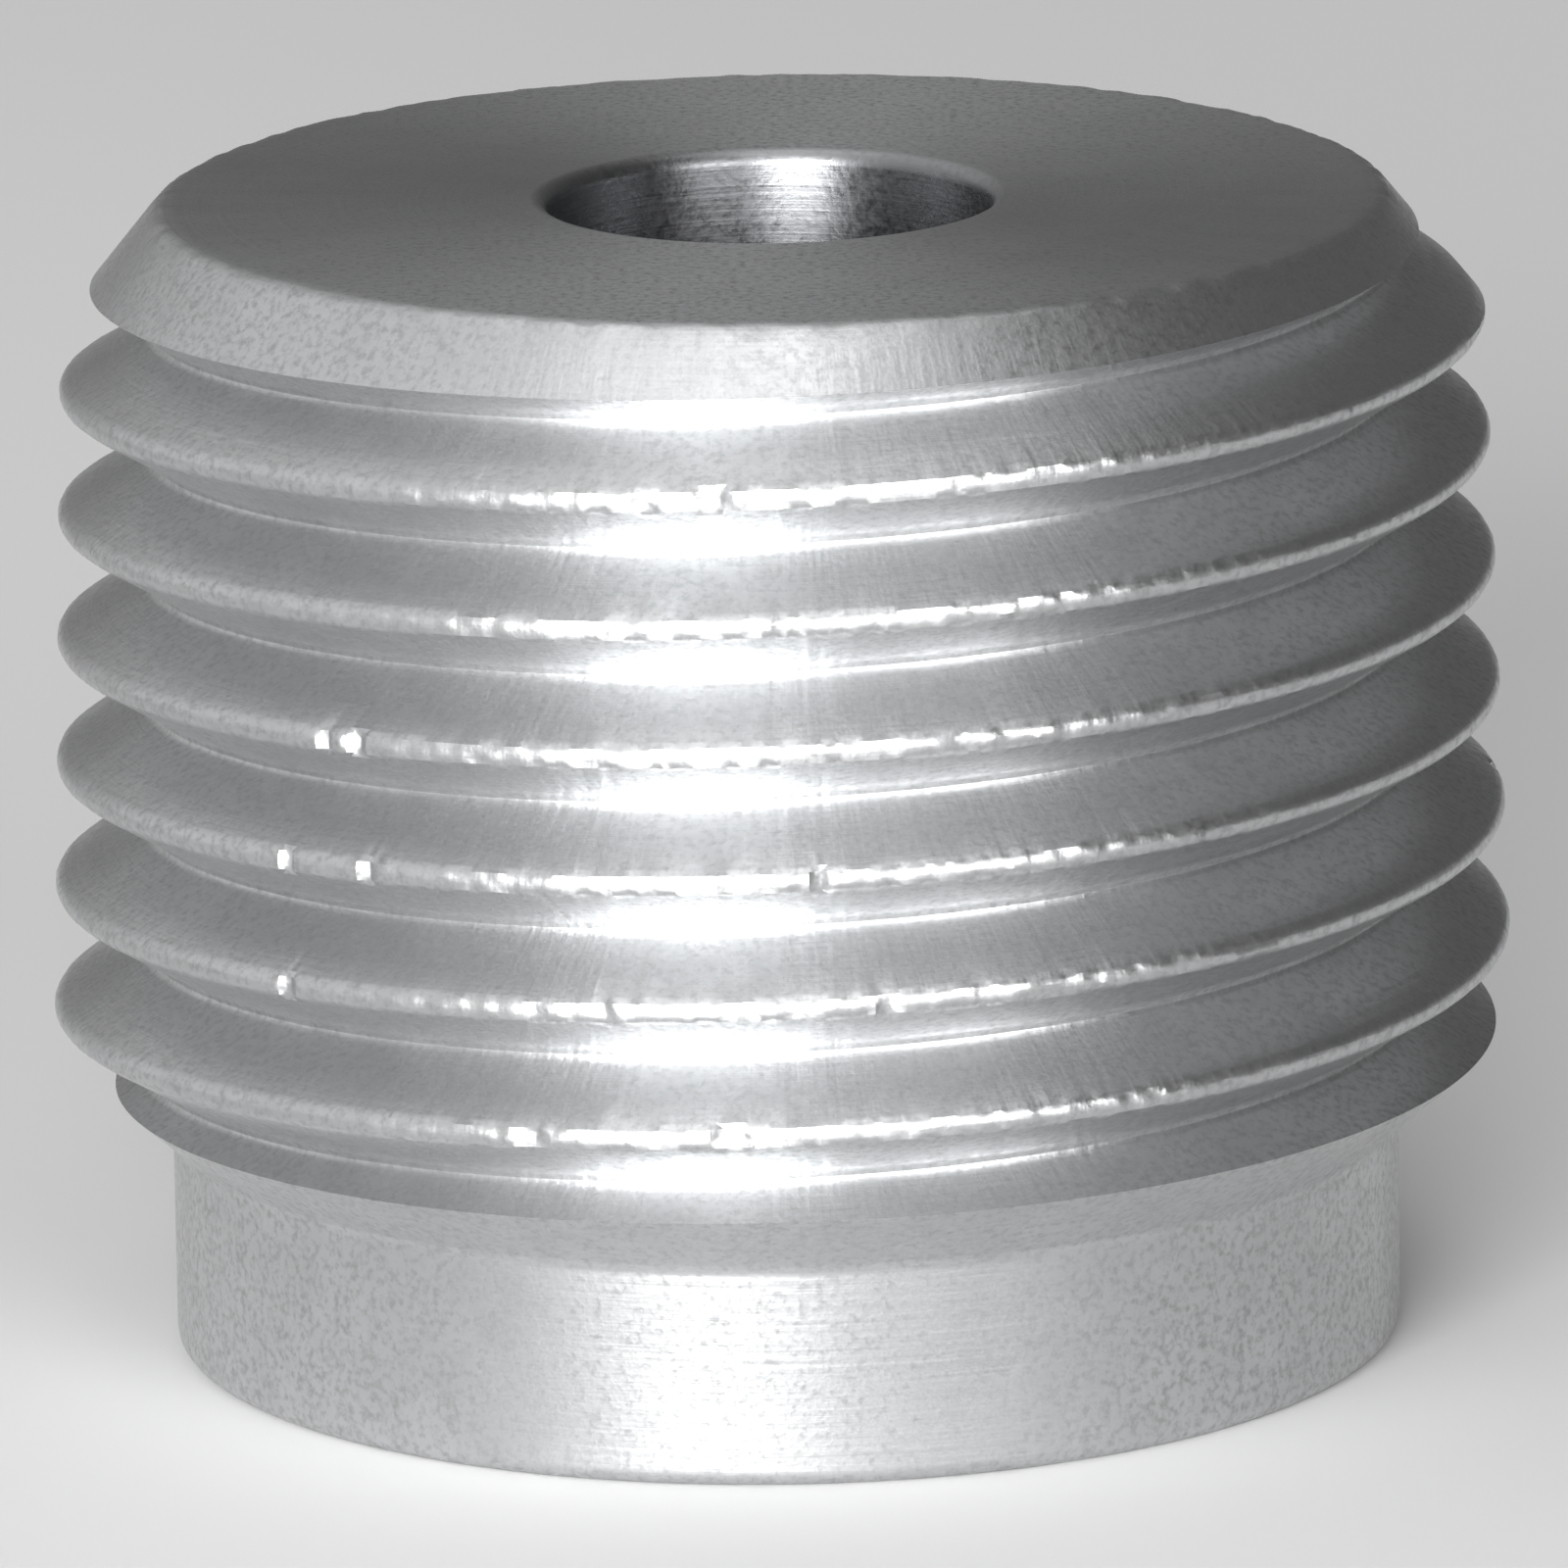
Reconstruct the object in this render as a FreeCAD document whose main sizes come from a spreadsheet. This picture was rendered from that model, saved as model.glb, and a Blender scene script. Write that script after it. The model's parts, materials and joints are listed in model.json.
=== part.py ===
import FreeCAD, Part
import os
import Sketcher

# A one-piece reducing bushing: a tapered male pipe thread over a plain round collar, a rounded wire throat
# through the top face, and a smaller pipe socket in the underside, drilled at its tapping size.
# Millimetres and degrees. The bushing stands on its collar face, with +Z along its axis and the origin at the
# centre of that face.

NODE = "reducing_bushing"
SHEET = "dimensions"

# Driving dimensions: name, cell text, what it sets.
DRIVING = [
    ("pitch_diameter", "19.264 mm", "male thread at the top face, halfway up its flanks"),
    ("pitch", "1.8143 mm", "one turn of the male thread, 14 to the inch"),
    ("taper", "0.0625", "growth of the male thread's diameter along its length, 1 in 16"),
    ("thread_angle", "60 deg", "between the two flanks of the male thread"),
    ("truncation", "0.06 mm", "height cut off the sharp crest, and left off the sharp root"),
    ("thread_start", "1.45 mm", "height at which the lowest groove crosses the +X side"),
    ("overall_height", "16.8 mm", "collar face to top face"),
    ("collar_diameter", "17.8 mm", "plain collar below the thread"),
    ("collar_height", "3.2 mm", "straight wall of the collar, with its broken edge"),
    ("edge_break", "0.25 mm", "chamfer around the collar face"),
    ("shoulder_angle", "49 deg", "cone from the collar to the thread, measured from the axis"),
    ("lead_depth", "1.53 mm", "radial depth of the lead cone at the top face"),
    ("lead_angle", "39 deg", "lead cone from the top face to the thread, measured from the axis"),
    ("throat_diameter", "6.4 mm", "wire throat"),
    ("lip_radius", "0.25 mm", "rounding of the throat's upper edge"),
    ("socket_diameter", "8.6 mm", "socket at its tapping size"),
    ("socket_depth", "10.5 mm", "straight wall of the socket, with its mouth"),
    ("point_angle", "118 deg", "drilled cone between the socket and the throat"),
    ("mouth_depth", "0.9 mm", "countersunk mouth of the socket"),
    ("mouth_angle", "90 deg", "countersunk mouth of the socket"),
]

# Sizes that follow from the driving ones.
DERIVED = [
    ("half_taper", "=taper / 2", "growth of the thread's radius along its length"),
    ("half_angle", "=thread_angle / 2", "one flank of the male thread"),
    ("thread_height", "=pitch / tan(half_angle) / 2 - 2 * truncation", "root to crest"),
    ("crest_radius", "=(pitch_diameter + thread_height) / 2", "male thread at the top face"),
    ("stub_height", "=overall_height + 3 * pitch", "the stub is threaded past the top face"),
    ("stub_foot", "=crest_radius + overall_height * half_taper", "stub, at the collar face"),
    ("stub_top", "=stub_foot - stub_height * half_taper", "stub, at its upper end"),
    ("clear_radius", "=stub_foot + pitch", "clear of the stub all round"),
    ("clear_height", "=stub_height + pitch", "clear of the stub's upper end"),
    ("groove_crest", "=stub_foot - thread_start * half_taper", "crest beside the groove's start"),
    ("groove_root", "=groove_crest - thread_height", "bottom of the groove at its start"),
    ("groove_mouth", "=groove_crest + truncation / 2", "the groove's profile stands clear of the crest"),
    ("root_half", "=truncation * tan(half_angle)", "half the flat at the groove's bottom"),
    ("mouth_half", "=root_half + (groove_mouth - groove_root) * tan(half_angle)", "half the profile's mouth"),
    ("root_lower", "=thread_start - root_half", "groove profile"),
    ("root_upper", "=thread_start + root_half", "groove profile"),
    ("mouth_lower", "=thread_start - mouth_half", "groove profile"),
    ("mouth_upper", "=thread_start + mouth_half", "groove profile"),
    ("thread_run", "=overall_height + pitch - thread_start", "the groove ends above the top face"),
    ("collar_radius", "=collar_diameter / 2", "collar wall"),
    ("shoulder_rise", "=(clear_radius - collar_radius) / tan(shoulder_angle)", "shoulder cut"),
    ("shoulder_height", "=collar_height + shoulder_rise", "shoulder cut, at the clear radius"),
    ("face_radius", "=crest_radius - lead_depth", "edge of the top face"),
    ("lead_drop", "=(clear_radius - face_radius) / tan(lead_angle)", "lead cut"),
    ("lead_height", "=overall_height - lead_drop", "lead cut, at the clear radius"),
    ("throat_radius", "=throat_diameter / 2", "throat wall"),
    ("socket_radius", "=socket_diameter / 2", "socket wall"),
    ("point_rise", "=(socket_radius - throat_radius) / tan(point_angle / 2)", "drilled cone"),
    ("point_height", "=socket_depth + point_rise", "where the drilled cone meets the throat"),
    ("mouth_radius", "=socket_radius + mouth_depth * tan(mouth_angle / 2)", "edge of the mouth"),
]

# Half sections as corners (radius, height), named as in the sheet; None is on the axis or on the collar face.
STUB = [
    (None, None),
    ("stub_foot", None),
    ("stub_top", "stub_height"),
    (None, "stub_height"),
]
GROOVE = [
    ("groove_root", "root_lower"),
    ("groove_mouth", "mouth_lower"),
    ("groove_mouth", "mouth_upper"),
    ("groove_root", "root_upper"),
]
BELOW_THREAD = [
    ("collar_radius", None),
    ("clear_radius", None),
    ("clear_radius", "shoulder_height"),
    ("collar_radius", "collar_height"),
]
ABOVE_THREAD = [
    (None, "overall_height"),
    ("face_radius", "overall_height"),
    ("clear_radius", "lead_height"),
    ("clear_radius", "clear_height"),
    (None, "clear_height"),
]
HOLLOW = [
    (None, None),
    ("mouth_radius", None),
    ("socket_radius", "mouth_depth"),
    ("socket_radius", "socket_depth"),
    ("throat_radius", "point_height"),
    ("throat_radius", "overall_height"),
    (None, "overall_height"),
]


def add_sheet(doc):
    """The sheet of dimensions: name, value and note in each row, with the name as the cell's alias."""
    sheet = doc.addObject("Spreadsheet::Sheet", SHEET)
    for row, (name, text, note) in enumerate(DRIVING + DERIVED, start=1):
        sheet.set(f"A{row}", name)
        sheet.set(f"B{row}", text)
        sheet.set(f"C{row}", note)
        sheet.setAlias(f"B{row}", name)
    doc.recompute()
    return sheet


def size(sheet, name):
    """A length from the sheet as a plain number; no name is zero."""
    return getattr(sheet, name).Value if name else 0.0


def tie(sketch, kind, axis, corner, sheet, name):
    """Ties one coordinate of a corner to the sheet, or lays the corner on the axis given."""
    if name is None:
        sketch.addConstraint(Sketcher.Constraint("PointOnObject", corner, 1, axis))
        return
    constraint = sketch.addConstraint(Sketcher.Constraint(kind, -1, 1, corner, 1, size(sheet, name)))
    sketch.setExpression(f"Constraints[{constraint}]", f"{SHEET}.{name}")


def add_section(body, sheet, name, corners):
    """A closed sketch of straight lines on the body's XZ plane, with every corner tied to the sheet."""
    sketch = body.newObject("Sketcher::SketchObject", name)
    plane = next(item for item in body.Origin.OriginFeatures if item.Role == "XZ_Plane")
    sketch.AttachmentSupport = (plane, [""])
    sketch.MapMode = "FlatFace"
    points = [FreeCAD.Vector(size(sheet, radius), size(sheet, height), 0) for radius, height in corners]
    for start, end in zip(points, points[1:] + points[:1]):
        sketch.addGeometry(Part.LineSegment(start, end), False)
    horizontal_axis, vertical_axis = -1, -2
    for i, (radius, height) in enumerate(corners):
        sketch.addConstraint(Sketcher.Constraint("Coincident", i, 2, (i + 1) % len(corners), 1))
        tie(sketch, "DistanceX", vertical_axis, i, sheet, radius)
        tie(sketch, "DistanceY", horizontal_axis, i, sheet, height)
    body.Document.recompute()
    return sketch


def add_turned(body, sheet, kind, name, corners):
    """A feature that revolves a half section around the axis, to add or to cut."""
    feature = body.newObject(kind, name)
    feature.Profile = add_section(body, sheet, f"{name}_section", corners)
    feature.ReferenceAxis = (feature.Profile[0], ["V_Axis"])
    feature.Angle = 360
    body.Document.recompute()
    return feature


def add_thread(body, sheet):
    """The tapered right-hand thread: one groove cut along a conical helix."""
    thread = body.newObject("PartDesign::SubtractiveHelix", "thread")
    thread.Profile = add_section(body, sheet, "thread_section", GROOVE)
    thread.ReferenceAxis = (thread.Profile[0], ["V_Axis"])
    thread.Mode = "pitch-height-angle"
    thread.setExpression("Pitch", f"{SHEET}.pitch")
    thread.setExpression("Height", f"{SHEET}.thread_run")
    thread.setExpression("Angle", f"-atan({SHEET}.half_taper)")
    thread.LeftHanded = False
    body.Document.recompute()
    return thread


def round_edge(shape, radius, height):
    """The name of the full circle of a given radius at a given height."""
    for number, edge in enumerate(shape.Edges, start=1):
        if edge.Curve.TypeId != "Part::GeomCircle":
            continue
        circle = edge.Curve
        if abs(circle.Radius - radius) < 1e-6 and abs(circle.Center.z - height) < 1e-6:
            return f"Edge{number}"
    raise RuntimeError(f"no round edge of radius {radius} at height {height}")


def add_lip(body, sheet, base):
    """The rounded upper edge of the wire throat."""
    lip = body.newObject("PartDesign::Fillet", "lip")
    edge = round_edge(base.Shape, size(sheet, "throat_radius"), size(sheet, "overall_height"))
    lip.Base = (base, [edge])
    lip.setExpression("Radius", f"{SHEET}.lip_radius")
    body.Document.recompute()
    return lip


def add_edge_break(body, sheet, base):
    """The chamfer around the collar face."""
    chamfer = body.newObject("PartDesign::Chamfer", "edge_break_cut")
    chamfer.Base = (base, [round_edge(base.Shape, size(sheet, "collar_radius"), 0.0)])
    chamfer.setExpression("Size", f"{SHEET}.edge_break")
    body.Document.recompute()
    return chamfer


def check(doc, features):
    """Stops the build if an object failed, or if one of the cuts removed nothing."""
    for item in doc.Objects:
        if "Invalid" in item.State or "Error" in item.State:
            raise RuntimeError(f"{item.Label} failed: {item.State}")
    for feature in features:
        if feature.Shape.isNull() or not feature.Shape.isValid() or len(feature.Shape.Solids) != 1:
            raise RuntimeError(f"{feature.Label} is not one valid solid")
    for before, after in zip(features, features[1:]):
        if after.Shape.Volume >= before.Shape.Volume:
            raise RuntimeError(f"{after.Label} cut nothing")


def build():
    """The bushing, made as on a lathe: thread a tapered stub, turn its ends, bore it and break its edges."""
    doc = FreeCAD.newDocument("bushing")
    sheet = add_sheet(doc)
    body = doc.addObject("PartDesign::Body", NODE)
    body.Label = NODE
    doc.recompute()
    stub = add_turned(body, sheet, "PartDesign::Revolution", "stub", STUB)
    thread = add_thread(body, sheet)
    collar = add_turned(body, sheet, "PartDesign::Groove", "collar", BELOW_THREAD)
    top = add_turned(body, sheet, "PartDesign::Groove", "top", ABOVE_THREAD)
    hollow = add_turned(body, sheet, "PartDesign::Groove", "hollow", HOLLOW)
    lip = add_lip(body, sheet, hollow)
    edge = add_edge_break(body, sheet, lip)
    body.Tip = edge
    doc.recompute()
    check(doc, [stub, thread, collar, top, hollow, lip, edge])
    os.makedirs("parts", exist_ok=True)
    body.Shape.exportStep(f"parts/{NODE}.step")


build()
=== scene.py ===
"""A plated steel reducing bushing on a plain studio floor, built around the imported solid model."""

import json
import math

import bmesh
import bpy
from bpy.props import FloatProperty, FloatVectorProperty, IntProperty, PointerProperty
from mathutils import Matrix, Vector, noise


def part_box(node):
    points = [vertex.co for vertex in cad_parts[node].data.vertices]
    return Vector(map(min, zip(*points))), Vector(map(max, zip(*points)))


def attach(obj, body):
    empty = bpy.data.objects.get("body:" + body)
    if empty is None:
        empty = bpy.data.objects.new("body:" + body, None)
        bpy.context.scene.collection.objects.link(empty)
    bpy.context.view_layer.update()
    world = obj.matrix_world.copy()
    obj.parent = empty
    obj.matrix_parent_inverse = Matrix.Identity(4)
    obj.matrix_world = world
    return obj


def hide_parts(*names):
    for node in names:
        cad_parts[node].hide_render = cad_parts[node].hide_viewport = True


bl_info = {
    "name": "Reducing bushing",
    "version": (1, 0, 0),
    "blender": (4, 5, 0),
    "location": "View3D > Sidebar > Bushing",
    "description": "Builds a plated steel reducing bushing and a plain studio around it",
    "category": "Object",
}

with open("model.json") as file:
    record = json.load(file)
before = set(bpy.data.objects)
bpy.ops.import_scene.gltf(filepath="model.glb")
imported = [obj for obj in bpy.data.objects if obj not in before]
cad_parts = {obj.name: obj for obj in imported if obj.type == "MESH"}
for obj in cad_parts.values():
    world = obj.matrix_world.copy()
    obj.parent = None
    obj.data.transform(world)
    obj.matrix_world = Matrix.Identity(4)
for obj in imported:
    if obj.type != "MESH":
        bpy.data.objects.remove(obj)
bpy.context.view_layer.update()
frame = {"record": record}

NODE = "reducing_bushing"
SLOT = "zinc_plated_steel"
MM = 0.001
# Vertices closer together than this become one.
WELD = 0.004 * MM
CAD_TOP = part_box(NODE)[1][2]
MIDDLE = Vector((0, 0, CAD_TOP / 2))
MOUNT_RADIUS = {
    mount["name"]: mount["dims"]["r_mm"] * MM
    for mount in frame["record"]["mounts"]
    if "r_mm" in mount["dims"]
}

# Knocks on the male thread's crests: degrees to the right of the front, crest number up from the collar,
# length along the crest and depth, in millimetres.
NICKS = [
    (-4, 2, 0.7, 0.14),
    (-20, 2, 0.6, 0.08),
    (8, 3, 0.4, 0.10),
    (-14, 3, 0.4, 0.08),
    (-42, 3, 0.35, 0.12),
    (3, 4, 0.3, 0.12),
    (-34, 4, 0.35, 0.12),
    (-42, 4, 0.3, 0.14),
    (-35, 5, 0.4, 0.16),
    (-38, 5, 0.3, 0.12),
    (-5, 7, 0.6, 0.14),
    (-10, 7, 0.6, 0.10),
    (95, 3, 0.5, 0.14),
    (150, 4, 0.7, 0.16),
    (-120, 6, 0.5, 0.12),
]

# Parts that a thread's rounded crests and roots are drawn in.
CREST_PARTS = 5
ROOT_PARTS = 4
SOCKET_PARTS = 2

# Softboxes: kind, degrees to the right of the front, degrees up, then distance, width and height in metres.
SOFTBOXES = [
    ("key", -14, 11, 0.5, 0.28, 0.18),
    ("fill", 30, 14, 0.5, 0.25, 0.22),
    ("top", 5, 66, 0.6, 0.15, 0.13),
    ("overhead", 0, 85, 0.7, 0.6, 0.6),
]
FLOOR_RADIUS = 3
FLOOR_SIDES = 96
SENSOR_WIDTH = 36


def length(name, description, default):
    """A length in metres, for a property group."""
    return FloatProperty(
        name=name, description=description, default=default, min=0, precision=5, unit="LENGTH",
    )


def angle(name, description, degrees):
    """An angle, given in degrees and kept in radians, for a property group."""
    return FloatProperty(name=name, description=description, default=math.radians(degrees), subtype="ANGLE")


def number(name, description, default):
    """A plain number, for a property group."""
    return FloatProperty(name=name, description=description, default=default)


def power(name, description, default):
    """A lamp's power in watts, for a property group."""
    return FloatProperty(name=name, description=description, default=default, unit="POWER")


def linear(hex_colour):
    """The linear colour of an sRGB hex value such as 9a9b9c."""
    channels = [int(hex_colour[i:i + 2], 16) / 255 for i in (0, 2, 4)]
    return [c / 12.92 if c <= 0.04045 else ((c + 0.055) / 1.055) ** 2.4 for c in channels]


def colour(name, description, hex_colour):
    """A colour, given as sRGB hex and kept linear, for a property group."""
    return FloatVectorProperty(
        name=name, description=description, default=linear(hex_colour), subtype="COLOR", min=0, max=1,
    )


class BushingSizes(bpy.types.PropertyGroup):
    """Sizes of the turned body, as in the solid model, and of the fine thread that it leaves plain."""

    height: length("Height", "Collar face to top face", CAD_TOP)
    pitch: length("Pitch", "One turn of the male thread", 1.8143 * MM)
    crest_radius: length("Crest radius", "Male thread at the top face", 10.3576 * MM)
    thread_height: length("Thread height", "Root to crest of the male thread", 1.4512 * MM)
    truncation: length("Truncation", "Height left off the sharp crest and root of the male thread", 0.06 * MM)
    thread_start: length("Thread start", "Height of the lowest groove on the +X side", 1.45 * MM)
    taper: number("Taper", "Growth of both threads' radius along the axis", 1 / 32)
    collar_radius: length("Collar radius", "Plain collar below the thread", 8.9 * MM)
    collar_height: length("Collar height", "Straight wall of the collar", 3.2 * MM)
    edge_break: length("Edge break", "Rounding of the collar's lower edge", 0.25 * MM)
    shoulder_angle: angle("Shoulder angle", "Cone from the collar to the thread, from the axis", 49)
    lead_depth: length("Lead depth", "Radial depth of the lead cone at the top face", 1.53 * MM)
    lead_angle: angle("Lead angle", "Cone from the top face to the thread, from the axis", 39)
    throat_radius: length("Throat radius", "Wire throat", MOUNT_RADIUS["wire_throat"])
    lip_radius: length("Lip radius", "Rounding of the throat's upper edge", 0.25 * MM)
    socket_radius: length("Socket radius", "Socket between its threads", MOUNT_RADIUS["conduit_socket"])
    socket_depth: length("Socket depth", "Straight wall of the socket, with its mouth", 10.5 * MM)
    point_angle: angle("Point angle", "Drilled cone between the socket and the throat", 118)
    mouth_depth: length("Mouth depth", "Countersunk mouth of the socket", 0.9 * MM)
    socket_pitch: length("Socket pitch", "One turn of the socket's thread, 27 to the inch", 0.9407 * MM)
    socket_thread: length("Socket thread", "Depth of the socket's thread at its mouth", 0.72 * MM)
    socket_run: length("Socket run", "Full thread in the socket, from the collar face", 7.0 * MM)
    steps: IntProperty(name="Steps", description="Parts of a turn of the male thread", default=720, min=36)


class BushingWear(bpy.types.PropertyGroup):
    """How the thread cutting, the plating and handling have left the edges."""

    crest_rounding: length("Crest rounding", "From a sharp crest to where its flanks start", 0.42 * MM)
    root_rounding: length("Root rounding", "From a sharp root to where its flanks start", 0.19 * MM)
    crest_loss: length("Crest loss", "Typical height that the die has torn off a crest", 0.03 * MM)
    crest_ripple: length("Crest ripple", "Height of the die's bumps along a crest", 0.045 * MM)
    deepest_knock: length("Deepest knock", "Deepest knock in a crest", 0.2 * MM)
    tear_length: length("Tear length", "Typical length of one tear along a crest", 0.35 * MM)
    flake_length: length("Flake length", "Typical length of the bumps and steps within a tear", 0.2 * MM)
    patch_length: length("Patch length", "Typical distance between well cut and torn stretches", 3.5 * MM)
    front_fade: number("Front fade", "How fast the tears fade from the front to the sides", 4)
    back_tear: number("Back tear", "Share of the tears that is left at the back", 0.1)
    back_ripple: number("Back ripple", "Share of the bumps that is left at the back", 0.2)
    patch_share: number("Patch share", "How far the tears come and go in patches", 0.5)
    even_share: number("Even share", "Share of a tear's depth that is even", 0.2)
    tear_share: number("Tear share", "Share of a tear's depth that changes along it", 0.6)
    flake_share: number("Flake share", "Share of a tear's depth that changes in small steps", 0.5)
    edge_rounding: length("Edge rounding", "Rounding of the top face, collar and mouth edges", 0.12 * MM)
    edge_tear: length("Edge tear", "Unevenness of the top face's outer edge", 0.03 * MM)
    edge_reach: length("Edge reach", "How far from the edge its tears go", 0.3 * MM)
    edge_share: number("Edge share", "How much of the top face's outer edge is torn", 0.4)
    sharp_angle: angle("Sharp angle", "Edges that turn further than this are shaded as sharp", 33)


class PlatingLook(bpy.types.PropertyGroup):
    """Colours, gloss and fine relief of the plated steel."""

    plate: colour("Plate", "Zinc plate on the turned faces and flanks", "c7c8c9")
    dull: colour("Dull plate", "Specks and clouds of duller plate", "a9aaab")
    # Painted shade: a darker colour painted on the throat's wall for the shade inside the hole.
    painted_throat_shade: colour("Bore", "Thin dark plate on the wall of the throat", "77787a")
    roughness: number("Roughness", "Middle roughness of the plate", 0.36)
    roughness_spread: number("Roughness spread", "Change within its grain", 0.08)
    anisotropy: number("Anisotropy", "How far the rings draw out highlights", 0.45)
    ring_spacing: length("Ring spacing", "Between turning marks", 0.09 * MM)
    ring_length: length("Ring length", "Along one turning mark", 5 * MM)
    ring_depth: length("Ring depth", "Depth of the turning marks", 0.009 * MM)
    ring_strength: number("Ring strength", "How far the turning marks show", 0.6)
    chatter_spacing: length("Chatter spacing", "Between the die's chatter marks", 0.16 * MM)
    chatter_length: length("Chatter length", "Along one chatter mark", 0.9 * MM)
    chatter_depth: length("Chatter depth", "Depth of the chatter marks", 0.012 * MM)
    chatter_strength: number("Chatter strength", "How far the chatter marks show", 0.6)
    chatter_fade: length("Chatter fade", "How far outside the collar's radius it sets in", 0.3 * MM)
    grain_size: length("Grain size", "Grain of the plate", 0.12 * MM)
    grain_depth: length("Grain depth", "Depth of the grain", 0.008 * MM)
    grain_strength: number("Grain strength", "How far the grain shows", 0.5)
    mottle_size: length("Mottle size", "Clouds in the plate", 1.1 * MM)


class StageLook(bpy.types.PropertyGroup):
    """Floor, light and camera."""

    floor: colour("Floor", "Pale studio floor", "c7c7c7")
    fibre_size: length("Fibre size", "Width of the paper's fibres", 0.4 * MM)
    fibre_depth: length("Fibre depth", "Height of the paper's fibres", 0.01 * MM)
    fibre_strength: number("Fibre strength", "How far the paper's fibres show", 0.1)
    camera_elevation: angle("Camera elevation", "How far the camera looks down", 13.55)
    camera_roll: angle("Camera roll", "How far the bushing leans to the left in the picture", 0.97)
    camera_distance: length("Camera distance", "From the middle of the bushing", 273.5 * MM)
    aim_right: length("Aim right", "Picture centre to the right of the bushing's middle", 0.06 * MM)
    aim_below: length("Aim below", "Picture centre below the bushing's middle", 0.31 * MM)
    focal_length: number("Focal length", "In millimetres, on a 36 mm sensor", 434)
    room_dim: number("Room dim", "Level of the room's dark side", 0.12)
    room_bright: number("Room bright", "Level of the room's bright side", 0.86)
    room_left: number("Room left", "Bright side of the room: part that is to the left", 0.88)
    room_front: number("Room front", "Bright side of the room: part that is to the front", 0.30)
    room_up: number("Room up", "Bright side of the room: part that is upwards", 0.36)
    dim_from: number("Dim from", "Cosine to the bright side at which the room is dim", -0.3)
    bright_from: number("Bright from", "Cosine to the bright side at which the room is bright", 0.9)
    key_power: power("Key power", "Softbox left of the camera", 5.9)
    fill_power: power("Fill power", "Softbox right of the camera", 1.3)
    top_power: power("Top power", "Small softbox above the camera", 0.12)
    overhead_power: power("Overhead power", "Wide softbox overhead", 0.6)


def chain(bm, corners):
    """Edges through the corners (radius, height), in the half plane of the axis and +X."""
    verts = [bm.verts.new((radius, 0, height)) for radius, height in corners]
    return [bm.edges.new(pair) for pair in zip(verts, verts[1:])]


def round_corners(bm, corners, reach, parts):
    """Rounds corners of the section, over a given reach along the edges beside them."""
    bmesh.ops.bevel(
        bm, geom=corners, offset=reach, affect="VERTICES", segments=parts, profile=0.5, material=-1,
    )


def sweep(bm, steps, rise):
    """Sweeps the section once around the axis while it climbs by rise: one sector, then copies of it."""
    sectors = round(math.sqrt(steps))
    rows = round(steps / sectors)
    around = {"cent": (0, 0, 0), "axis": (0, 0, 1), "use_merge": False}
    bmesh.ops.spin(
        bm,
        geom=bm.verts[:] + bm.edges[:],
        dvec=(0, 0, rise / (sectors * rows)),
        angle=math.tau / sectors,
        steps=rows,
        **around,
    )
    bmesh.ops.spin(
        bm,
        geom=bm.verts[:] + bm.edges[:] + bm.faces[:],
        dvec=(0, 0, rise / sectors),
        angle=math.tau * (sectors - 1) / sectors,
        steps=sectors - 1,
        use_duplicate=True,
        **around,
    )
    bmesh.ops.remove_doubles(bm, verts=bm.verts[:], dist=WELD)


def screw(pitch, start, root, apex, root_rounding, crest_rounding, bottom, top, steps):
    """A closed right-hand screw of even radius: its section climbs one pitch in a full turn, between flat
    caps. Each rounding is its reach along the flanks from the sharp corner, and its number of parts."""
    bm = bmesh.new()
    corners = []
    spare_turns = 2
    first = math.floor((bottom - start) / pitch) - spare_turns
    last = math.ceil((top - start) / pitch) + spare_turns
    for turn in range(first, last):
        groove = start + turn * pitch
        corners += [(root, groove), (apex, groove + pitch / 2)]
    flanks = chain(bm, corners)
    bmesh.ops.subdivide_edges(bm, edges=flanks, cuts=1)
    inner = [vert for vert in bm.verts if len(vert.link_edges) == 2]
    crests = [vert for vert in inner if vert.co.x > apex - WELD]
    roots = [vert for vert in inner if vert.co.x < root + WELD]
    round_corners(bm, crests, *crest_rounding)
    round_corners(bm, roots, *root_rounding)
    sweep(bm, steps, pitch)
    for height, outward in ((bottom, -1), (top, 1)):
        bmesh.ops.bisect_plane(
            bm,
            geom=bm.verts[:] + bm.edges[:] + bm.faces[:],
            dist=WELD / 10,
            plane_co=(0, 0, height),
            plane_no=(0, 0, outward),
            clear_outer=True,
        )
    bmesh.ops.holes_fill(bm, edges=[edge for edge in bm.edges if edge.is_boundary])
    bmesh.ops.recalc_face_normals(bm, faces=bm.faces[:])
    return bm


def move_out(vert, distance):
    """Moves a vertex away from the axis."""
    factor = 1 + distance / vert.co.xy.length
    vert.co.x *= factor
    vert.co.y *= factor


def crest_number(co, pitch, start):
    """The number of the crest nearest to a point, counted up from the collar at the front."""
    turn_from_front = math.atan2(co.x, -co.y) / math.tau
    # The groove starts a quarter of a turn past the front, and a crest is half a turn above its groove.
    return round((co.z - start) / pitch - turn_from_front + 1 / 4 - 1 / 2)


def nick_depth(co, number_here, nicks):
    """How deep a knock is at a point on a crest."""
    deepest = 0
    for side, crest, nick_length, depth in nicks:
        if crest != number_here:
            continue
        turn = math.atan2(co.x, -co.y) - math.radians(side)
        along = co.xy.length * math.atan2(math.sin(turn), math.cos(turn))
        deepest = max(deepest, depth * MM * (1 - (2 * along / (nick_length * MM)) ** 2))
    return deepest


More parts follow.
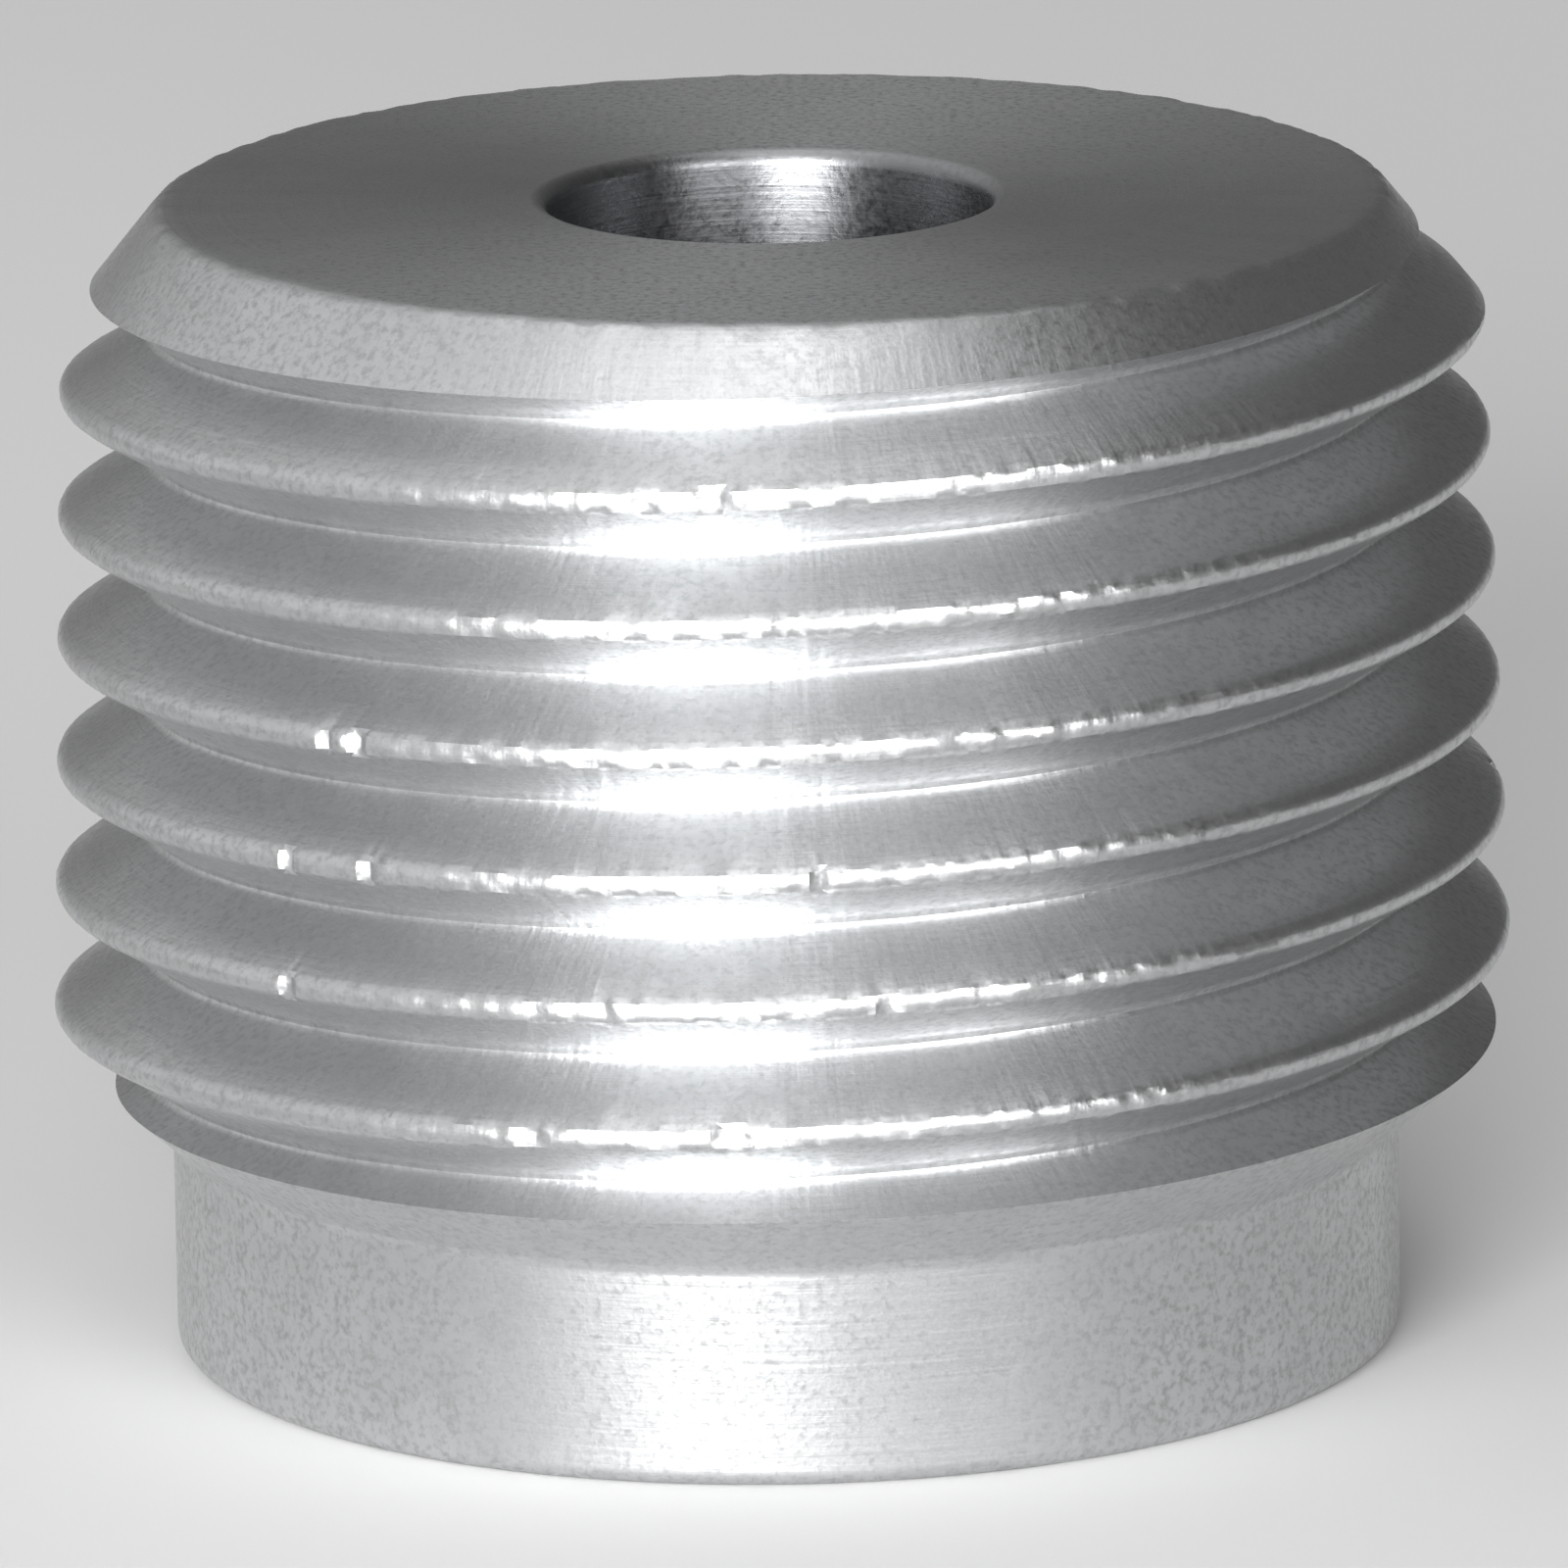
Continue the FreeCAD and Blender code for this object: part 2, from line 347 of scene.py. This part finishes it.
def tear_crests(bm, sizes, wear):
    """Planes the crests down in torn stretches and at the knocks, and leaves bumps, mostly at the front."""
    crest = max(vert.co.xy.length for vert in bm.verts)
    for vert in bm.verts:
        radius = vert.co.xy.length
        near = 1 - (crest - radius) / wear.deepest_knock
        if near < 0:
            continue
        number_here = crest_number(vert.co, sizes.pitch, sizes.thread_start)
        front = max(-vert.co.y / radius, 0) ** wear.front_fade
        # Noise runs from about -0.5 to 0.5.
        patch = noise.noise(vert.co / wear.patch_length)
        tear = 0.5 + noise.noise(vert.co / wear.tear_length)
        bump = noise.noise(vert.co / wear.flake_length)
        torn = wear.back_tear + front + wear.patch_share * patch
        depth = wear.even_share + wear.tear_share * tear + wear.flake_share * (0.5 + bump)
        limit = crest - max(wear.crest_loss * torn * depth, nick_depth(vert.co, number_here, NICKS), 0)
        ripple = wear.crest_ripple * (wear.back_ripple + front) * near * bump
        move_out(vert, min(limit - radius, 0) + ripple)


def add_taper(bm, sizes):
    """Lets the radius grow towards the collar face."""
    for vert in bm.verts:
        move_out(vert, (sizes.height - vert.co.z) * sizes.taper)


def male_thread(sizes, wear):
    """The tapered male thread as a screw that runs past both ends of the bushing."""
    root = sizes.crest_radius - sizes.thread_height - sizes.truncation
    apex = sizes.crest_radius + sizes.truncation
    past = sizes.pitch / 2
    bm = screw(
        sizes.pitch,
        sizes.thread_start,
        root,
        apex,
        (wear.root_rounding, ROOT_PARTS),
        (wear.crest_rounding, CREST_PARTS),
        -past,
        sizes.height + past,
        sizes.steps,
    )
    tear_crests(bm, sizes, wear)
    add_taper(bm, sizes)
    return bm


def socket_tap(sizes):
    """What the tap takes out of the socket: a fine screw that tapers inwards and runs out near the bottom."""
    overlap = sizes.socket_thread / 8
    root = sizes.socket_radius - overlap
    rounding = (overlap, SOCKET_PARTS)
    bm = screw(
        sizes.socket_pitch,
        0,
        root,
        sizes.socket_radius + sizes.socket_thread,
        rounding,
        rounding,
        -sizes.mouth_depth,
        sizes.socket_depth - sizes.mouth_depth,
        sizes.steps // 4,
    )
    run_out = sizes.socket_thread / (2 * sizes.socket_pitch)
    for vert in bm.verts:
        if vert.co.xy.length < root + overlap / 2:
            continue
        move_out(vert, -vert.co.z * sizes.taper - max(0, vert.co.z - sizes.socket_run) * run_out)
    return bm


def tear_edge(bm, sizes, wear):
    """Leaves the top face's outer edge slightly uneven."""
    face_radius = sizes.crest_radius - sizes.lead_depth
    for vert in bm.verts:
        away = math.hypot(vert.co.xy.length - face_radius, vert.co.z - sizes.height) / wear.edge_reach
        if away > 1:
            continue
        tear = wear.edge_share + noise.noise(vert.co / wear.tear_length)
        loss = wear.edge_tear * max(tear, 0) * (1 - away)
        move_out(vert, -loss)
        vert.co.z -= loss


def turned_blank(sizes, wear):
    """The bushing before its threads are cut, from the collar up to the top face and down the hollow."""
    clear = sizes.crest_radius + 2 * sizes.thread_height
    face = sizes.crest_radius - sizes.lead_depth
    shoulder_rise = (clear - sizes.collar_radius) / math.tan(sizes.shoulder_angle)
    lead_drop = (clear - face) / math.tan(sizes.lead_angle)
    reach_out = wear.edge_reach * math.sin(sizes.lead_angle)
    reach_down = wear.edge_reach * math.cos(sizes.lead_angle)
    point_rise = (sizes.socket_radius - sizes.throat_radius) / math.tan(sizes.point_angle / 2)
    # Corners of the half section: radius, height, reach of the rounding and its parts.
    corners = [
        (sizes.socket_radius + sizes.mouth_depth, 0, wear.edge_rounding, 2),
        (sizes.collar_radius, 0, sizes.edge_break, 4),
        (sizes.collar_radius, sizes.collar_height, wear.edge_rounding, 2),
        (clear, sizes.collar_height + shoulder_rise, 0, 0),
        (clear, sizes.height - lead_drop, 0, 0),
        (face + reach_out, sizes.height - reach_down, 0, 0),
        (face, sizes.height, wear.edge_rounding, 3),
        (face - wear.edge_reach, sizes.height, 0, 0),
        (sizes.throat_radius, sizes.height, sizes.lip_radius, 6),
        (sizes.throat_radius, sizes.socket_depth + point_rise, 0, 0),
        (sizes.socket_radius, sizes.socket_depth, 0, 0),
        (sizes.socket_radius, sizes.mouth_depth, 0, 0),
    ]
    bm = bmesh.new()
    edges = chain(bm, [corner[:2] for corner in corners])
    bm.edges.new((edges[-1].verts[1], edges[0].verts[0]))
    for vert, (_, _, reach, parts) in zip(bm.verts[:], corners):
        if parts:
            round_corners(bm, [vert], reach, parts)
    sweep(bm, sizes.steps // 2, 0)
    # A quarter of a step out of line with the screws, so that their edges don't fall on the blank's edges.
    off_line = Matrix.Rotation(math.tau / sizes.steps / 4, 3, "Z")
    bmesh.ops.rotate(bm, verts=bm.verts[:], cent=(0, 0, 0), matrix=off_line)
    bmesh.ops.recalc_face_normals(bm, faces=bm.faces[:])
    tear_edge(bm, sizes, wear)
    return bm


def new_object(name, bm):
    """An object in the scene that holds the mesh, which is used up."""
    mesh = bpy.data.meshes.new(name)
    bm.to_mesh(mesh)
    bm.free()
    made = bpy.data.objects.new(name, mesh)
    bpy.context.scene.collection.objects.link(made)
    return made


def combine(body, tool, operation):
    """Cuts the body with the tool, keeps the result as the body's mesh and removes the tool."""
    step = body.modifiers.new(operation, "BOOLEAN")
    step.operation = operation
    step.solver = "MANIFOLD"
    step.object = tool
    evaluated = body.evaluated_get(bpy.context.evaluated_depsgraph_get())
    cut = bpy.data.meshes.new_from_object(evaluated)
    if not cut.polygons:
        raise RuntimeError(f"{operation} left nothing of {body.name}")
    body.modifiers.clear()
    old = body.data
    body.data = cut
    bpy.data.meshes.remove(old)
    bpy.data.meshes.remove(tool.data)


def clear_slivers(mesh):
    """Merges the edges and faces of almost no size that the cuts have left."""
    bm = bmesh.new()
    bm.from_mesh(mesh)
    bmesh.ops.triangulate(bm, faces=bm.faces[:])
    bmesh.ops.dissolve_degenerate(bm, edges=bm.edges[:], dist=WELD / 2)
    bm.to_mesh(mesh)
    bm.free()


def node(tree, kind, inputs=None, **settings):
    """Adds a node with its settings, and sets or links its inputs by name or number."""
    made = tree.nodes.new(kind)
    for name, value in settings.items():
        setattr(made, name, value)
    for socket, value in (inputs or {}).items():
        if isinstance(value, bpy.types.NodeSocket):
            tree.links.new(value, made.inputs[socket])
        else:
            made.inputs[socket].default_value = value
    return made


def new_material(name):
    """A material with an empty node tree, and that tree."""
    material = bpy.data.materials.new(name)
    material.use_nodes = True
    material.node_tree.nodes.clear()
    return material, material.node_tree


def zinc_plated_steel(look, sizes):
    """Zinc plate over turned steel. The tool's rings show through the plate as fine lines around the axis,
    which draw highlights out along it. The plate is grainy and slightly mottled, and the die has left chatter
    on the thread.
    The throat's wall is painted darker, as painted shade of the hole."""
    material, tree = new_material(SLOT)
    place = node(tree, "ShaderNodeTexCoord").outputs["Object"]
    across = node(tree, "ShaderNodeVectorMath", {0: place, 1: (1, 1, 0)}, operation="MULTIPLY").outputs[0]
    radius = node(tree, "ShaderNodeVectorMath", {0: across}, operation="LENGTH").outputs["Value"]
    axis = (0, 0, 1)
    around = node(tree, "ShaderNodeVectorMath", {0: axis, 1: place}, operation="CROSS_PRODUCT").outputs[0]

    # Turning marks, drawn a little coarser than real ones so that they show.
    ring = 1 / look.ring_spacing
    along = 1 / look.ring_length
    ring_place = node(tree, "ShaderNodeVectorMath", {0: place, 1: (along, along, ring)}, operation="MULTIPLY")
    ring_radius = node(tree, "ShaderNodeMath", {0: radius, 1: ring}, operation="MULTIPLY")
    rings = node(
        tree,
        "ShaderNodeTexNoise",
        {
            "Vector": ring_place.outputs[0],
            "W": ring_radius.outputs[0],
            "Scale": 1,
            "Detail": 3,
            "Roughness": 0.6,
        },
        noise_dimensions="4D",
    ).outputs["Fac"]

    # Die chatter, straight up and down the flanks, only outside the collar's radius.
    outward = node(tree, "ShaderNodeVectorMath", {0: across}, operation="NORMALIZE").outputs[0]
    spread = sizes.crest_radius / look.chatter_spacing
    turned = node(tree, "ShaderNodeVectorMath", {0: outward, "Scale": spread}, operation="SCALE").outputs[0]
    climb = 1 / look.chatter_length
    chatter_place = node(
        tree, "ShaderNodeVectorMath", {0: place, 1: (0, 0, climb), 2: turned}, operation="MULTIPLY_ADD",
    ).outputs[0]
    chatter = node(
        tree, "ShaderNodeTexNoise", {"Vector": chatter_place, "Scale": 1, "Detail": 2, "Roughness": 0.5},
    ).outputs["Fac"]
    on_thread = node(
        tree,
        "ShaderNodeMapRange",
        {
            "Value": radius,
            "From Min": sizes.collar_radius,
            "From Max": sizes.collar_radius + look.chatter_fade,
        },
    ).outputs["Result"]
    die_marks = node(tree, "ShaderNodeMath", {0: chatter, 1: on_thread}, operation="MULTIPLY").outputs[0]

    # Grain of the plate, and its mottling.
    grain = node(
        tree,
        "ShaderNodeTexNoise",
        {"Vector": place, "Scale": 1 / look.grain_size, "Detail": 2, "Roughness": 0.6},
    ).outputs["Fac"]
    mottle = node(
        tree,
        "ShaderNodeTexNoise",
        {"Vector": place, "Scale": 1 / look.mottle_size, "Detail": 5, "Roughness": 0.7},
    ).outputs["Fac"]
    cloud = node(tree, "ShaderNodeMapRange", {"Value": mottle, "From Min": -0.4, "From Max": 0.65})
    speck = node(tree, "ShaderNodeMapRange", {"Value": grain, "From Min": 0.3, "From Max": 0.55})
    shade = node(tree, "ShaderNodeMath", {0: cloud.outputs[0], 1: speck.outputs[0]}, operation="MULTIPLY")
    plate = node(tree, "ShaderNodeValToRGB", {"Fac": shade.outputs[0]})
    plate.color_ramp.elements[0].color = (*look.dull, 1)
    plate.color_ramp.elements[1].color = (*look.plate, 1)
    # Painted shade: the throat's wall and lip get the darker colour, for the shade inside the hole.
    painted_shade_in_throat = node(
        tree,
        "ShaderNodeMapRange",
        {
            "Value": radius,
            "From Min": sizes.throat_radius + sizes.lip_radius,
            "From Max": sizes.throat_radius,
        },
    ).outputs["Result"]
    # Inputs 6 and 7 and output 2 of a Mix node are its colours.
    steel_colour = node(
        tree, "ShaderNodeMix", {0: painted_shade_in_throat, 6: plate.outputs["Color"], 7: (*look.painted_throat_shade, 1)}, data_type="RGBA",
    ).outputs[2]
    gloss = node(
        tree,
        "ShaderNodeMapRange",
        {
            "Value": grain,
            "From Min": 0.3,
            "From Max": 0.7,
            "To Min": look.roughness + look.roughness_spread,
            "To Max": look.roughness - look.roughness_spread,
        },
    ).outputs["Result"]

    reliefs = [
        (rings, look.ring_strength, look.ring_depth),
        (die_marks, look.chatter_strength, look.chatter_depth),
        (grain, look.grain_strength, look.grain_depth),
    ]
    normal = None
    for height, strength, depth in reliefs:
        inputs = {"Height": height, "Strength": strength, "Distance": depth}
        if normal:
            inputs["Normal"] = normal
        normal = node(tree, "ShaderNodeBump", inputs).outputs[0]
    steel = node(
        tree,
        "ShaderNodeBsdfPrincipled",
        {
            "Base Color": steel_colour,
            "Metallic": 1.0,
            "Roughness": gloss,
            "Anisotropic": look.anisotropy,
            "Anisotropic Rotation": 0.25,
            "Tangent": around,
            "Normal": normal,
        },
    )
    node(tree, "ShaderNodeOutputMaterial", {"Surface": steel.outputs[0]})
    return material


class BUSHING_OT_add_body(bpy.types.Operator):
    """Turns the blank, taps its socket, cuts its male thread and plates it"""

    bl_idname = "bushing.add_body"
    bl_label = "Add bushing body"

    def execute(self, context):
        sizes = context.scene.bushing_sizes
        wear = context.scene.bushing_wear
        body = new_object("bushing_body", turned_blank(sizes, wear))
        combine(body, new_object("socket_tap", socket_tap(sizes)), "DIFFERENCE")
        combine(body, new_object("male_thread", male_thread(sizes, wear)), "INTERSECT")
        clear_slivers(body.data)
        body.data.shade_smooth()
        body.data.set_sharp_from_angle(angle=wear.sharp_angle)
        body.data.materials.clear()
        body.data.materials.append(zinc_plated_steel(context.scene.bushing_plating, sizes))
        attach(body, "root")
        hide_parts(NODE)
        return {"FINISHED"}


def pale_floor(look):
    """Matt paper sweep: it shows only its colour and the bushing's soft shadow."""
    material, tree = new_material("matt_white_paper")
    place = node(tree, "ShaderNodeTexCoord").outputs["Object"]
    fibre = node(tree, "ShaderNodeTexNoise", {"Vector": place, "Scale": 1 / look.fibre_size, "Detail": 2})
    bump = node(
        tree,
        "ShaderNodeBump",
        {"Height": fibre.outputs["Fac"], "Strength": look.fibre_strength, "Distance": look.fibre_depth},
    )
    paper = node(tree, "ShaderNodeBsdfDiffuse", {"Color": (*look.floor, 1), "Normal": bump.outputs[0]})
    node(tree, "ShaderNodeOutputMaterial", {"Surface": paper.outputs[0]})
    return material


def add_floor(look):
    """A wide floor disc under the collar face."""
    bm = bmesh.new()
    bmesh.ops.create_circle(bm, cap_ends=True, segments=FLOOR_SIDES, radius=FLOOR_RADIUS)
    floor = new_object("floor", bm)
    floor.data.materials.append(pale_floor(look))


def add_softbox(name, side, elevation, distance, width, tall, watts):
    """A soft rectangular lamp that faces the bushing, placed by its angles to the right and up."""
    lamp = bpy.data.lights.new(name, "AREA")
    lamp.shape = "RECTANGLE"
    lamp.size = width
    lamp.size_y = tall
    lamp.energy = watts
    right = math.radians(side)
    up = math.radians(elevation)
    direction = Vector((math.sin(right) * math.cos(up), -math.cos(right) * math.cos(up), math.sin(up)))
    facing = direction.to_track_quat("Z", "Y").to_matrix().to_4x4()
    lit = bpy.data.objects.new(name, lamp)
    lit.matrix_world = Matrix.Translation(MIDDLE + direction * distance) @ facing
    lit.visible_camera = False
    bpy.context.scene.collection.objects.link(lit)


def add_world(look):
    """A grey room, brightest to the left of the camera and overhead, and dim to the right and behind."""
    world = bpy.data.worlds.new("grey_room")
    world.use_nodes = True
    tree = world.node_tree
    tree.nodes.clear()
    towards = node(tree, "ShaderNodeTexCoord").outputs["Generated"]
    bright_side = (-look.room_left, -look.room_front, look.room_up)
    facing = node(
        tree, "ShaderNodeVectorMath", {0: towards, 1: bright_side}, operation="DOT_PRODUCT",
    ).outputs["Value"]
    level = node(
        tree,
        "ShaderNodeMapRange",
        {
            "Value": facing,
            "From Min": look.dim_from,
            "From Max": look.bright_from,
            "To Min": look.room_dim,
            "To Max": look.room_bright,
        },
        interpolation_type="SMOOTHSTEP",
    ).outputs["Result"]
    room = node(tree, "ShaderNodeBackground", {"Color": (1, 1, 1, 1), "Strength": level})
    node(tree, "ShaderNodeOutputWorld", {"Surface": room.outputs[0]})
    bpy.context.scene.world = world


def add_camera(look):
    """The camera at the front, above the top face, with a long lens."""
    lens = bpy.data.cameras.new("camera")
    lens.lens = look.focal_length
    lens.sensor_width = SENSOR_WIDTH
    lens.clip_start = 10 * MM
    camera = bpy.data.objects.new("camera", lens)
    tilt = Matrix.Rotation(math.pi / 2 - look.camera_elevation, 4, "X")
    roll = Matrix.Rotation(-look.camera_roll, 4, "Z")
    away = Matrix.Translation((look.aim_right, -look.aim_below, look.camera_distance))
    camera.matrix_world = Matrix.Translation(MIDDLE) @ tilt @ roll @ away
    bpy.context.scene.collection.objects.link(camera)
    bpy.context.scene.camera = camera


class BUSHING_OT_add_stage(bpy.types.Operator):
    """Adds the floor, the lamps, the room and the camera"""

    bl_idname = "bushing.add_stage"
    bl_label = "Add stage"

    def execute(self, context):
        look = context.scene.bushing_stage
        add_floor(look)
        for kind, *place in SOFTBOXES:
            add_softbox(f"{kind}_softbox", *place, getattr(look, f"{kind}_power"))
        add_world(look)
        add_camera(look)
        context.scene.view_settings.view_transform = "Standard"
        return {"FINISHED"}


class BUSHING_PT_panel(bpy.types.Panel):
    """Lists the bushing's sizes, wear, finish and stage"""

    bl_label = "Reducing bushing"
    bl_idname = "BUSHING_PT_panel"
    bl_space_type = "VIEW_3D"
    bl_region_type = "UI"
    bl_category = "Bushing"

    def draw(self, context):
        scene = context.scene
        for group in (scene.bushing_sizes, scene.bushing_wear, scene.bushing_plating):
            for name in group.__annotations__:
                self.layout.prop(group, name)
        self.layout.operator(BUSHING_OT_add_body.bl_idname)
        for name in scene.bushing_stage.__annotations__:
            self.layout.prop(scene.bushing_stage, name)
        self.layout.operator(BUSHING_OT_add_stage.bl_idname)


GROUPS = {
    "bushing_sizes": BushingSizes,
    "bushing_wear": BushingWear,
    "bushing_plating": PlatingLook,
    "bushing_stage": StageLook,
}
CLASSES = [*GROUPS.values(), BUSHING_OT_add_body, BUSHING_OT_add_stage, BUSHING_PT_panel]


def register():
    """Registers the classes and hangs the property groups on the scene."""
    for item in CLASSES:
        bpy.utils.register_class(item)
    for name, group in GROUPS.items():
        setattr(bpy.types.Scene, name, PointerProperty(type=group))


def unregister():
    """Undoes what register does."""
    for name in GROUPS:
        delattr(bpy.types.Scene, name)
    for item in reversed(CLASSES):
        bpy.utils.unregister_class(item)


def main():
    """Builds the bushing and its stage."""
    register()
    bpy.ops.bushing.add_body()
    bpy.ops.bushing.add_stage()


if __name__ == "__main__":
    main()
